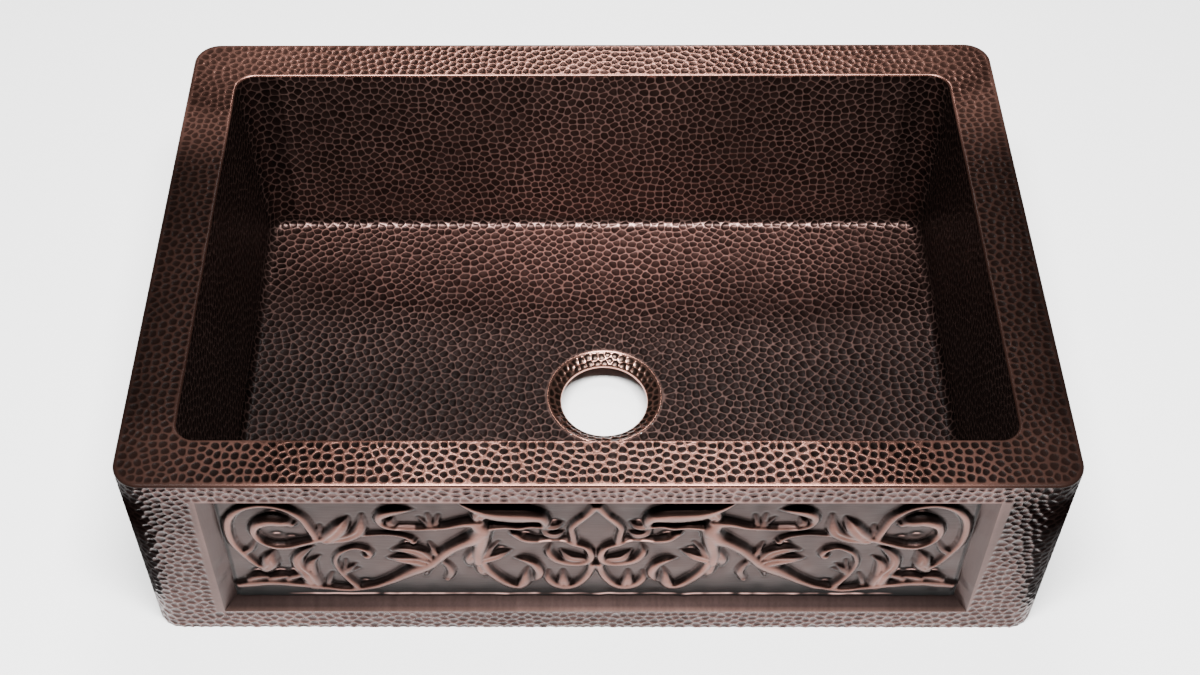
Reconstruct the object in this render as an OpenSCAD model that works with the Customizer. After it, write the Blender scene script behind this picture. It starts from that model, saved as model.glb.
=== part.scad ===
// Apron-front kitchen sink, welded up from hammered copper sheet.
// Origin: middle of the footprint, on the plane of the apron's lower edge.
// X runs left to right, Y runs front to back, Z is up. The apron faces -Y.

/* [Overall size] */
// Width over the rim, left to right
sink_w = 838.2; // [760:0.1:920]
// Depth over the rim, front to back
sink_d = 558.8; // [500:0.1:620]
// Height from the lower edge of the apron to the top of the rim
sink_h = 241.3; // [225:0.1:280]
// Thickness of the copper sheet
sheet = 2; // [1.2:0.1:2.4]

/* [Rim] */
// Width of the flat rim, the same on all four sides
rim_w = 48.6; // [42:0.1:60]
// Outer corner radius of the rim and of the apron, seen from above
corner_r = 25.4; // [18:0.1:36]
// Radius of the rolled outer edge of the rim
edge_r = 2.5; // [2.5:0.5:6]
// Straight part of the lip, below the rolled edge, along the front and the sides
lip_h = 0.2; // [0.2:0.1:8]
// Height of the lip turned down along the back
back_lip_h = 25.4; // [18:0.1:40]

/* [Bowl] */
// Depth of the bowl below the top of the rim
bowl_depth = 203.2; // [170:0.1:205]
// Corner radius of the bowl's mouth
mouth_r = 19; // [14:0.5:26]
// How far each end wall leans in on its way down
end_draft = 9.2; // [4:0.1:16]
// How far the front and back walls lean in on their way down
face_draft = 25; // [8:0.5:32]
// How far the floor lies to the right of the mouth's middle
floor_shift = 4.8; // [0:0.1:8]
// Radius of the bend between the walls and the floor
floor_r = 9; // [7:0.5:12]
// Distance from the bowl's corner radius to the upright seams
seam_gap = 10; // [6:1:30]

/* [Drain] */
// Diameter of the drain hole
hole_d = 88.9; // [85:0.1:92]
// Diameter of the pressed dish round the hole
dish_d = 119; // [112:0.5:130]
// How far the hole lies below the floor
dish_drop = 8; // [5:0.5:12]
// Length of the neck turned down round the hole
neck_h = 3; // [2:0.5:8]
// Drain centre to the right of the sink's middle
drain_x = 12; // [0:0.5:40]
// Drain centre in front of the sink's middle
drain_front = 33; // [0:0.5:60]

/* [Apron] */
// Width of the hammered border at each end of the recess
side_border = 70; // [60:0.5:90]
// Height of the hammered border below the recess
low_border = 30.5; // [24:0.5:45]
// Height of the hammered band above the recess
top_band = 26.3; // [22:0.1:40]
// Depth of the recess
recess_depth = 12; // [11:0.5:18]
// Width of the sloped bevel round the recess, seen from the front
bevel_w = 12; // [8:0.5:18]
// How far the apron runs back round each corner
wrap = 70; // [50:1:120]
// How far the side skirts run on along the back
back_return = 48; // [42:1:80]
// Width of the flange turned in along the lower edges
flange_w = 16; // [10:0.5:24]

/* [Scrollwork] */
// Rise of the boldest leaf above the panel
scroll_rise = 9.5; // [6:0.5:10.5]
// Longest straight facet along a stem
facet = 15; // [12:0.5:18]

/* [Hidden] */

// Facets of the true curves, and of the bowl's tapered corners
$fn = 96;
bowl_fn = 32;
// Stand-in for a sheet with no thickness
film = 0.01;
// A cut runs this far past what it cuts
over = 5;

front_y = -sink_d / 2;
// The upright sheets end this far below the top of the rim
front_lip = edge_r + lip_h;
mouth_w = sink_w - 2 * rim_w;
mouth_d = sink_d - 2 * rim_w;
floor_z = sink_h - bowl_depth;
// Level of the seam between the floor pan and the walls
pan_top = floor_z + floor_r;
// Upright seams between the end walls and the long walls
seam_x = mouth_w / 2 - end_draft - floor_shift - mouth_r - seam_gap;

window_w = sink_w - 2 * side_border;
window_z0 = low_border;
window_z1 = sink_h - top_band;
window_h = window_z1 - window_z0;
panel_w = window_w - 2 * bevel_w;
panel_h = window_h - 2 * bevel_w;
panel_z0 = window_z0 + bevel_w;
panel_y = front_y + recess_depth;

// The scrollwork is drawn on a field of this size, in millimetres, with its tallest leaf this high
drawn_w = 674.2;
drawn_z0 = 42.5;
drawn_h = 160.5;
drawn_rise = 9.5;
// Depth to which a stem's foot is set into the panel
bite = 0.4;
// A stem's section: distance across and rise, as shares of half width and height. Both ends are buried
section = [[-1, -1], [-0.76, 0.6], [0, 1], [0.76, 0.6], [1, -1]];

copper_rim = [0.36, 0.21, 0.16];
copper_bowl = [0.25, 0.15, 0.12];
copper_apron = [0.42, 0.33, 0.29];
copper_relief = [0.55, 0.37, 0.3];

// One half of the scrollwork: along each stem or leaf, points of
// [distance from the middle, height, half width, rise]
volute_ring = [
  [251, 143, 5, 5], [256, 160, 4.5, 5], [262, 178, 4.5, 5], [275, 192, 4.5, 5], [294, 198, 4.5, 5],
  [313, 192, 4.5, 5], [326, 176, 5, 5], [330, 155, 5, 5], [328, 134, 4.5, 4.5], [321, 117, 4, 4.5],
  [313, 101, 3.5, 4.5], [304, 90, 4.5, 4]
];
volute_tongue = [
  [244, 143, 5, 5], [262, 137, 5, 6], [276, 131, 5.5, 6], [290, 131, 5, 6], [302, 140, 4, 6],
  [307, 153, 4.5, 6], [303, 166, 6, 6.5], [291, 173, 8, 7], [279, 171, 7, 6.5], [272, 165, 3, 3]
];
main_stem = [
  [108, 170, 8, 7], [102, 158, 10, 8.5], [107, 146, 10, 8], [120, 136, 8, 7.5], [133, 124, 7, 7],
  [143, 111, 6.5, 7], [152, 100, 8, 7], [163, 92, 9, 7], [176, 82, 7, 6.5], [190, 71, 5.5, 6],
  [207, 61, 5, 5.5], [228, 56, 4.5, 5], [252, 59, 5, 5], [275, 65, 6, 5.5], [300, 68, 6.5, 5.5],
  [319, 66, 7, 5.5], [331, 62, 5, 4.5]
];
upper_stem = [
  [162, 187, 1, 1], [172, 188, 5, 4.5], [184, 186, 7, 6], [192, 179, 5.5, 5.5], [193, 170, 4.2, 5],
  [188, 163, 4, 5], [179, 160, 4, 5], [166, 159, 4, 5], [150, 160, 4, 5], [134, 163, 4.5, 5.5],
  [119, 168, 6, 6], [106, 170, 8, 7]
];
top_wing = [
  [120, 199, 2, 3], [108, 193, 6, 7], [94, 187, 10, 9], [78, 184, 12, 9.5], [62, 183, 12, 9.5],
  [50, 179, 8, 8], [45, 169, 5, 6.5], [47, 161, 3, 4]
];
lower_jaw = [[95, 162, 5, 6], [82, 165, 4, 6], [70, 162, 4.5, 5.5], [59, 164, 4, 5], [48, 162, 3.5, 4.5]];
small_scroll = [
  [221, 59, 4.5, 5], [230, 75, 3.5, 4.5], [237, 92, 3.2, 4], [238, 106, 3.2, 4], [232, 119, 3.2, 4],
  [219, 127, 3.2, 4], [209, 124, 3.5, 4.5], [205, 117, 3.5, 4.5]
];
tendril = [
  [222, 144, 4, 5], [210, 148, 3, 4], [198, 149, 2.8, 3.5], [185, 149, 2.8, 3.5], [174, 146, 3.2, 3.5],
  [167, 141, 4, 4]
];
branch = [[102, 150, 9, 8], [104, 133, 7.5, 7], [107, 117, 6.5, 6.5], [107, 104, 6, 6]];
low_crescent = [
  [104, 102, 5, 5], [99, 88, 5.5, 5.5], [90, 74, 5.5, 5.5], [79, 63, 5.5, 5], [70, 61, 5.5, 5],
  [65, 69, 6.5, 5], [64, 80, 4, 4], [62, 91, 0.8, 1]
];
inner_crescent = [
  [74, 107, 1, 1], [65, 106, 4.5, 4.5], [56, 98, 5.5, 5.5], [52, 86, 5.5, 5.5], [54, 75, 4, 4], [58, 66, 1, 1]
];
middle_strap = [
  [1, 194, 5, 5], [8, 182, 4, 5], [16, 171, 4.5, 5], [22, 160, 4, 5], [21, 147, 4, 5], [20, 135, 4, 5]
];
upper_loop = [
  [74, 150, 4, 4], [66, 143, 5, 5], [54, 139, 5, 5], [42, 140, 4, 4.5], [31, 140, 4, 4.5], [20, 135, 4, 5],
  [9, 128, 4, 5], [4.5, 117, 4.5, 5.5], [6, 107, 4.5, 5.5], [14, 101, 4.5, 5], [26, 102, 5, 5],
  [37, 109, 5.5, 5.5], [43, 120, 4, 4.5], [41, 131, 1, 1]
];
lower_loop = [
  [3, 99, 5, 5], [5, 88, 4.5, 5], [10, 75, 4.5, 5], [18, 64, 5, 5], [28, 60, 5.5, 5], [38, 65, 5.5, 5],
  [44, 75, 4.5, 4.5], [43, 86, 1, 1]
];
leaves = [
  // Leaf, spur and twin leaf that close the large volute
  [[304, 89, 5, 4], [299, 98, 7, 5.5], [298, 108, 6, 5], [292, 121, 1, 1]],
  [[321, 118, 3.5, 4], [313, 124, 3, 3.5], [307, 138, 0.8, 1]],
  [[261, 62, 7, 5], [265, 80, 7.5, 6], [272, 95, 5.5, 5.5], [272, 109, 5, 5], [264, 121, 3.5, 3.5], [256, 127, 0.8, 1]],
  [[262, 80, 5, 5], [262, 94, 5, 5], [259, 104, 3, 4], [252, 111, 0.8, 1]],
  [[249, 60, 3, 3], [247, 70, 2.5, 3], [243, 82, 0.8, 1]],
  // Three lobes of the leaf on the upper stem
  [[241, 142, 8, 5.5], [233, 153, 8, 6.5], [227, 164, 6, 5.5], [221, 176, 1, 1]],
  [[236, 141, 5, 5.5], [222, 146, 6, 6], [212, 157, 5.5, 6], [208, 180, 1, 1]],
  [[250, 145, 5, 4], [247, 162, 1, 1]],
  // Crown on the stem of the upper scroll, and the leaf inside its curl
  [[180, 161, 3, 3], [184, 168, 3.5, 4], [181, 175, 1, 1]],
  [[148, 161, 3, 4], [158, 175, 0.8, 1]],
  [[148, 161, 4, 5], [150, 181, 0.8, 1]],
  [[144, 161, 4, 5], [140, 179, 0.8, 1]],
  // Lobe under the wing
  [[100, 189, 7, 8], [104, 182, 6, 8.5], [103, 176, 3, 4]],
  // Leaves on the outer side of the main stem
  [[152, 109, 5, 6], [160, 120, 6, 6], [172, 124, 5, 5], [185, 120, 1.5, 1.5]],
  [[152, 102, 7, 7], [165, 108, 8, 7], [178, 108, 5, 5], [190, 107, 1, 1]],
  [[146, 119, 3.5, 5], [151, 134, 0.8, 1]],
  // Hook and spines under the main stem
  [[143, 104, 3, 3], [136, 96, 3, 3.5], [133, 84, 3.5, 4], [137, 72, 3, 3]],
  [[154, 92, 4, 4], [157, 76, 1, 1]],
  [[140, 111, 3, 3], [131, 114, 0.8, 1]],
  // Tuft on the small scroll
  [[234, 82, 3, 4], [227, 90, 3, 4], [220, 97, 0.8, 1]],
  [[232, 83, 3, 4], [218, 89, 0.8, 1]],
  [[231, 86, 3, 4], [229, 104, 0.8, 1]],
  // Leaves at the foot of the branch
  [[110, 120, 4, 4], [115, 107, 4.5, 4.5], [115, 92, 0.8, 1]],
  [[106, 101, 4, 4], [104, 88, 5, 5], [102, 75, 0.8, 1]],
  [[104, 106, 5, 5], [90, 113, 5, 5], [77, 121, 0.8, 1]],
  [[100, 116, 4, 4.5], [88, 135, 0.8, 1]],
  // Leaves inside the two loops, and the husks beside the middle strap
  [[12, 107, 4, 4], [24, 111, 5, 5], [32, 122, 0.8, 1]],
  [[29, 62, 6, 5], [30, 74, 4, 4.5], [30, 87, 0.8, 1]],
  [[31, 167, 1, 1], [36, 162, 4, 4], [44, 162, 4, 4], [48, 168, 1, 1]],
  [[29, 152, 1, 1], [36, 148, 4, 4], [44, 150, 4, 4], [48, 158, 2, 2]]
];
// Berries that close the stems: distance from the middle, height, radius, rise
berries = [[165, 137, 4.5, 4.5], [208, 113, 5, 5], [331, 62, 6, 4.5], [272, 165, 5, 4], [137, 72, 3.5, 3.5]];

stems = concat(
  [volute_ring, volute_tongue, main_stem, upper_stem, top_wing, lower_jaw, small_scroll, tendril, branch],
  [low_crescent, inner_crescent, middle_strap, upper_loop, lower_loop],
  leaves
);

// Rectangle with round corners, centred
module round_rect(w, d, r) {
  square([w - 2 * r, d], center = true);
  square([w, d - 2 * r], center = true);
  for (x = [-1, 1], y = [-1, 1])
    translate([x * (w / 2 - r), y * (d / 2 - r)]) circle(r);
}

// Upright ring of sheet that follows the outline of the sink
module outline_ring() {
  difference() {
    round_rect(sink_w, sink_d, corner_r);
    round_rect(sink_w - 2 * sheet, sink_d - 2 * sheet, corner_r - sheet);
  }
}

// Section of the rim from a corner's centre out to the lip: flat, rolled edge, lip
module rim_section(lip) {
  flat_w = corner_r - edge_r;
  translate([0, sink_h - sheet]) square([flat_w, sheet]);
  translate([flat_w, sink_h - edge_r])
    intersection() {
      difference() {
        circle(edge_r);
        circle(edge_r - sheet);
      }
      square(edge_r);
    }
  translate([corner_r - sheet, sink_h - lip]) square([sheet, lip - edge_r]);
}

// One side of the rim, mitred through both corners. It is drawn at the front and turned.
// length: side of the sink along this strip, depth: across it
module rim_strip(length, depth, lip, turn) {
  run = length / 2 - corner_r;
  inner = depth / 2 - corner_r;
  reach = rim_w - corner_r + mouth_r;
  rotate(turn) {
    translate([-run, -inner, 0]) rotate([90, 0, 90])
      linear_extrude(2 * run) mirror([1, 0]) rim_section(lip);
    for (side = [-1, 1])
      translate([side * run, -inner, 0]) rotate(side < 0 ? -135 : -90)
        rotate_extrude(angle = 45) rim_section(lip);
    translate([0, 0, sink_h - sheet]) linear_extrude(sheet)
      difference() {
        polygon([[-run, -inner], [run, -inner], [run - reach, -inner + reach], [-run + reach, -inner + reach]]);
        round_rect(length - 2 * rim_w, depth - 2 * rim_w, mouth_r);
      }
  }
}

module rim_front() { color(copper_rim) rim_strip(sink_w, sink_d, front_lip, 0); }
module rim_back() { color(copper_rim) rim_strip(sink_w, sink_d, back_lip_h, 180); }
module rim_left() { color(copper_rim) rim_strip(sink_d, sink_w, front_lip, -90); }
module rim_right() { color(copper_rim) rim_strip(sink_d, sink_w, front_lip, 90); }

// Front sheet: bent round both corners, cut out for the recess, turned in along the bottom
module apron_frame() {
  color(copper_apron) {
    difference() {
      linear_extrude(sink_h - front_lip)
        intersection() {
          outline_ring();
          translate([-sink_w / 2 - over, front_y - over]) square([sink_w + 2 * over, wrap + over]);
        }
      translate([-window_w / 2, front_y - over, window_z0]) cube([window_w, sheet + 2 * over, window_h]);
    }
    translate([corner_r - sink_w / 2, front_y, 0]) cube([sink_w - 2 * corner_r, flange_w, sheet]);
  }
}

// Side sheet from the apron's end, round the rear corner and a little way along the back
module skirt() {
  side_l = sink_d - wrap - corner_r;
  difference() {
    linear_extrude(sink_h - front_lip)
      intersection() {
        outline_ring();
        translate([-sink_w / 2 - over, front_y + wrap]) square([back_return + over, sink_d]);
      }
    // Room for the deeper lip of the rim, which ends at the corner's mitre
    translate([corner_r - sink_w / 2, sink_d / 2 - corner_r, sink_h - back_lip_h])
      linear_extrude(back_lip_h) polygon([[0, 0], [-2 * corner_r, 2 * corner_r], [sink_w, 2 * corner_r], [sink_w, 0]]);
  }
  translate([-sink_w / 2, front_y + wrap, 0]) cube([flange_w, side_l, sheet]);
}

module left_skirt() { color(copper_apron) skirt(); }
module right_skirt() { color(copper_apron) mirror([1, 0, 0]) skirt(); }

// Sloped strip from the window's edge in to the panel, mitred at both ends.
// It is drawn along the lower edge: length is the window's side
module bevel_strip(length) {
  slope_t = sheet * sqrt(pow(bevel_w, 2) + pow(recess_depth, 2)) / bevel_w;
  intersection() {
    translate([-length / 2, 0, 0]) rotate([90, 0, 90]) linear_extrude(length)
      polygon([[0, 0], [slope_t, 0], [recess_depth + slope_t, bevel_w], [recess_depth, bevel_w]]);
    translate([0, recess_depth + slope_t + over, 0]) rotate([90, 0, 0])
      linear_extrude(recess_depth + slope_t + 2 * over)
        polygon([[-length / 2, 0], [length / 2, 0], [length / 2 - bevel_w, bevel_w], [bevel_w - length / 2, bevel_w]]);
  }
}

module recess_bevel_bottom() { color(copper_apron) translate([0, front_y, window_z0]) bevel_strip(window_w); }
module recess_bevel_top() {
  color(copper_apron) translate([0, front_y, window_z1]) rotate([0, 180, 0]) bevel_strip(window_w);
}
module recess_bevel_left() {
  color(copper_apron) translate([-window_w / 2, front_y, window_z0 + window_h / 2]) rotate([0, 90, 0])
    bevel_strip(window_h);
}
module recess_bevel_right() {
  color(copper_apron) translate([window_w / 2, front_y, window_z0 + window_h / 2]) rotate([0, -90, 0])
    bevel_strip(window_h);
}

// Point on the smooth curve through b and c, a share t of the way along
function curve_at(a, b, c, d, t) =
  (2 * b + (c - a) * t + (2 * a - 5 * b + 4 * c - d) * t * t + (3 * b - 3 * c + d - a) * t * t * t) / 2;

// A line's points with more between them, so that no facet is longer than the named length
function smooth_line(p) =
  let (last = len(p) - 1)
  [
    for (i = [0:last - 1])
      let (n = ceil(norm([p[i + 1].x - p[i].x, p[i + 1].y - p[i].y]) / facet))
      for (j = [0:n - 1]) curve_at(p[max(i - 1, 0)], p[i], p[i + 1], p[min(i + 2, last)], j / n),
    p[last]
  ];

// Stem or leaf swept along its line, tapering from ring to ring
module stem(line) {
  rings = smooth_line(line);
  count = len(rings);
  sides = len(section);
  sx = panel_w / drawn_w;
  sz = panel_h / drawn_h;
  sy = scroll_rise / drawn_rise;
  points = [
    for (i = [0:count - 1])
      let (
        here = rings[i],
        along = rings[min(i + 1, count - 1)] - rings[max(i - 1, 0)],
        step = norm([along.x, along.y]),
        across = [-along.y, along.x] / step * max(here[2], 0.4)
      )
      for (s = section)
        [
          (here.x + across.x * s.x) * sx,
          panel_y - (s.y < 0 ? -bite : max(here[3], 0.5) * s.y * sy),
          panel_z0 + (here.y + across.y * s.x - drawn_z0) * sz
        ]
  ];
  faces = concat(
    [[for (k = [sides - 1:-1:0]) k]],
    [
      for (i = [0:count - 2], k = [0:sides - 1])
        let (n = (k + 1) % sides, a = i * sides, b = a + sides)
        [a + k, a + n, b + n, b + k]
    ],
    [[for (k = [0:sides - 1]) (count - 1) * sides + k]]
  );
  polyhedron(points, faces, convexity = 10);
}

// Round berry, flattened towards its top
module berry(at) {
  sx = panel_w / drawn_w;
  sz = panel_h / drawn_h;
  rise = at[3] * scroll_rise / drawn_rise;
  translate([at.x * sx, panel_y + bite, panel_z0 + (at.y - drawn_z0) * sz]) rotate([90, 0, 0])
    hull() {
      linear_extrude(film) circle(at[2], $fn = 12);
      translate([0, 0, bite + rise * 0.7]) linear_extrude(film) circle(at[2] * 0.72, $fn = 12);
      translate([0, 0, bite + rise]) linear_extrude(film) circle(at[2] * 0.3, $fn = 12);
    }
}

// Plate with the raised scrollwork, mirrored about its middle
module repousse_panel() {
  color(copper_relief) {
    translate([-panel_w / 2, panel_y, panel_z0]) cube([panel_w, sheet, panel_h]);
    for (side = [0, 1]) mirror([side, 0, 0]) {
      for (line = stems) stem(line);
      for (at = berries) berry(at);
    }
  }
}

// Plan of the bowl's inner face at a height, grown outwards by a distance
module bowl_plan(z, grow) {
  down = (sink_h - z) / bowl_depth;
  w = mouth_w - 2 * end_draft * down;
  d = mouth_d - 2 * face_draft * down;
  translate([floor_shift * down, 0]) round_rect(w + 2 * grow, d + 2 * grow, mouth_r + grow, $fn = bowl_fn);
}

// Tapered block that fills the bowl between the floor pan and the rim
module wall_block(grow, past) {
  hull() {
    translate([0, 0, pan_top - past]) linear_extrude(film) bowl_plan(pan_top - past, grow);
    translate([0, 0, sink_h - sheet - film + past]) linear_extrude(film) bowl_plan(sink_h - sheet + past, grow);
  }
}

// Wall of the bowl between two upright planes across X
module bowl_wall(x0, x1, y0, y1) {
  intersection() {
    difference() {
      wall_block(sheet, 0);
      wall_block(0, over);
    }
    translate([x0, y0, 0]) cube([x1 - x0, y1 - y0, sink_h]);
  }
}

module bowl_back_wall() { color(copper_bowl) bowl_wall(-seam_x, seam_x, 0, sink_d / 2); }
module bowl_front_wall() { color(copper_bowl) bowl_wall(-seam_x, seam_x, -sink_d / 2, 0); }
module bowl_left_wall() { color(copper_bowl) bowl_wall(-sink_w / 2, -seam_x, -sink_d / 2, sink_d / 2); }
module bowl_right_wall() { color(copper_bowl) bowl_wall(seam_x, sink_w / 2, -sink_d / 2, sink_d / 2); }

// Block that fills the floor pan up to its seam, its lower edge rounded
module pan_block(grow, past) {
  r = floor_r + grow;
  hull()
    for (a = [0:18:90])
      translate([0, 0, pan_top - r * cos(a) + (a == 90 ? past - film : 0)]) linear_extrude(film)
        bowl_plan(pan_top, grow - r * (1 - sin(a)));
}

module bowl_floor() {
  color(copper_bowl)
    difference() {
      pan_block(sheet, 0);
      pan_block(0, over);
      translate([drain_x, -drain_front, floor_z - sheet - over]) cylinder(h = sheet + 2 * over, d = dish_d);
    }
}

// Pressed dish that fills the floor's opening, with its neck turned down round the hole
module drain_dish() {
  rim_r = dish_d / 2;
  hole_r = hole_d / 2;
  color(copper_rim)
    translate([drain_x, -drain_front, floor_z]) rotate_extrude()
      polygon([
        [rim_r, 0], [rim_r, -sheet],
        [hole_r + sheet, -dish_drop - sheet], [hole_r + sheet, -dish_drop - neck_h],
        [hole_r, -dish_drop - neck_h], [hole_r, -dish_drop]
      ]);
}

rim_front();
rim_back();
rim_left();
rim_right();
apron_frame();
left_skirt();
right_skirt();
recess_bevel_top();
recess_bevel_bottom();
recess_bevel_left();
recess_bevel_right();
repousse_panel();
bowl_floor();
bowl_back_wall();
bowl_front_wall();
bowl_left_wall();
bowl_right_wall();
drain_dish();
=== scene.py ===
from math import cos, hypot, pi, radians, sin

import bpy
import numpy as np
from mathutils import Matrix, Vector
from mathutils.kdtree import KDTree
from numpy.linalg import norm


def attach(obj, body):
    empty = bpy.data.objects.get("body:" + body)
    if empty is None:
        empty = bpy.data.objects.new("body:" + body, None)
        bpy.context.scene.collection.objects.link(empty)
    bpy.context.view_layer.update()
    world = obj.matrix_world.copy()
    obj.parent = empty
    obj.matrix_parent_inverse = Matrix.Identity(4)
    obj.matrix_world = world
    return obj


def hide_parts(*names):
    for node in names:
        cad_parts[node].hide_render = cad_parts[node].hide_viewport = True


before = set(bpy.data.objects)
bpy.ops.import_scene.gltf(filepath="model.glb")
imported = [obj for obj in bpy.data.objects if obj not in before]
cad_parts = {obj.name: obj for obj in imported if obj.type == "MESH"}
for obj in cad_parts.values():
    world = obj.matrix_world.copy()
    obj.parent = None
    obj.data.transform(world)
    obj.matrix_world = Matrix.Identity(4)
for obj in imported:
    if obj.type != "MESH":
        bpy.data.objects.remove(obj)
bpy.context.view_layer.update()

# Sizes in millimetres, as in the CAD model. Lengths become metres where a mesh is made
MM = 0.001
TINY = 1e-9
SINK_W = 838.2
SINK_D = 558.8
SINK_H = 241.3
SHEET = 2.0

# Rim: outer corner, rolled outer edge, rounded edge at the bowl's mouth, lip in front and at the back
RIM_W = 48.6
CORNER_R = 25.4
EDGE_R = 2.5
MOUTH_EDGE = 2.0
LIP = 2.7
BACK_LIP = 25.4

# Bowl: its walls lean in by the drafts, and its floor lies a little to the right
BOWL_DEPTH = 203.2
MOUTH_R = 19.0
END_DRAFT = 9.2
FACE_DRAFT = 25.0
FLOOR_SHIFT = 4.8
FLOOR_R = 9.0
SEAM_GAP = 10
MOUTH_X = SINK_W / 2 - RIM_W
MOUTH_Y = SINK_D / 2 - RIM_W
FLOOR_Z = SINK_H - BOWL_DEPTH
PAN_TOP = FLOOR_Z + FLOOR_R
SEAM_X = MOUTH_X - END_DRAFT - FLOOR_SHIFT - MOUTH_R - SEAM_GAP

# Drain: hole, pressed dish and neck
HOLE_R = 44.45
DISH_R = 59.5
DISH_DROP = 8.0
NECK = 3.0
DRAIN_X = 12.0
DRAIN_Y = -33.0

# Apron: window cut out for the recess, slopes of the recess, wrap round the corners, flanges below
WINDOW_X = 349.1
WINDOW_Z0 = 30.5
WINDOW_Z1 = 215.0
RECESS = 12.0
BEVEL = 12.0
WRAP = 70.0
BACK_RETURN = 48.0
FLANGE = 16.0
FRONT_Y = -SINK_D / 2
CORNER_S = SINK_W / 2 - CORNER_R + CORNER_R * pi / 2
WRAP_S = CORNER_S + WRAP - CORNER_R
SKIRT_S = WRAP_S + (SINK_D - WRAP - CORNER_R)

# Relief panel
PANEL_X = WINDOW_X - BEVEL
PANEL_Z0 = WINDOW_Z0 + BEVEL
PANEL_Z1 = WINDOW_Z1 - BEVEL
PANEL_Y = FRONT_Y + RECESS

# Hammer blows: least distance between two, how far a struck place is worked, share tried, how near an
# edge between two marks a vertex is moved onto it, and what is added to a blow that is counted twice
PITCH = 6.4
STRUCK = 0.6
TRIED = 0.45
SNAP = 0.75
AWAY = 1000.0

# Distance between the vertices of the worked faces
RIM_GRID = 1.35
RIM_ROWS = 1.3
LIP_ROWS = 1.6
END_GRID = 1.75
CORNER_GRID = 1.7
FLOOR_GRID = 1.95
BEND_GRID = 1.2
APRON_GRID = 1.15
MIDDLE_GRID = 1.4
TOP_ROWS = 1.1
SKIRT_GRID = 2.0
DISH_GRID = 1.2
CONE_ROWS = 15
PANEL_GRID = 1.12
FOOT_ROWS = 0.6
BEVEL_GRID = 2.0
BEVEL_ROWS = 1.4
# The back of a sheet takes every sixth line of its face's grid
BACK_STEP = 6

# Grain of the patina: scales of the fine and the broad one, detail of both, and depth of the fine one
FINE_GRAIN = 420.0
BROAD_GRAIN = 9.0
GRAIN_DETAIL = 3.0
GRAIN_DEPTH = 0.6
# How closely the metal between marks follows their corners, where three of them meet
CORNER_SHARP = 5.0
# Painted shade of the side sheets, which the apron's wrapped ends share
SIDE_PAINTED_SHADE = 0.17


def steps(length, spacing):
    return max(2, int(round(length / spacing)))


def spread(*parts):
    """Positions along a line: (from, to, spacing) parts joined end to end."""
    out = []
    for a, b, spacing in parts:
        part = np.linspace(a, b, steps(abs(b - a), spacing) + 1)
        out.append(part[1:] if out else part)
    return np.concatenate(out)


def profile(at, *points):
    """Value at a place, from (place, value) points joined by straight lines."""
    return np.interp(at, [q[0] for q in points], [q[1] for q in points])


def ease(value):
    return np.clip(value, 0, 1)


def unit(v):
    return v / np.maximum(norm(v, axis=-1, keepdims=True), TINY)


def gather(*parts):
    """Points from coordinates that are spread over one grid."""
    return np.stack(np.broadcast_arrays(*parts), -1)


def corners(grid):
    """The four corners of every face of a grid, in order round the face."""
    return [grid[:-1, :-1], grid[:-1, 1:], grid[1:, 1:], grid[1:, :-1]]


def grid_normal(p):
    return unit(np.cross(np.gradient(p, axis=1), np.gradient(p, axis=0)))


def facing(n, at, direction):
    """Normals, all turned over if the one at this place of the grid points against the direction."""
    return -n if np.dot(n[at], direction) < 0 else n


# Smooth sheets before hammering. Each gives points, normals, how far each point is worked (0 to 1), and
# which faces of the grid are metal, or None for all


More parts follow.
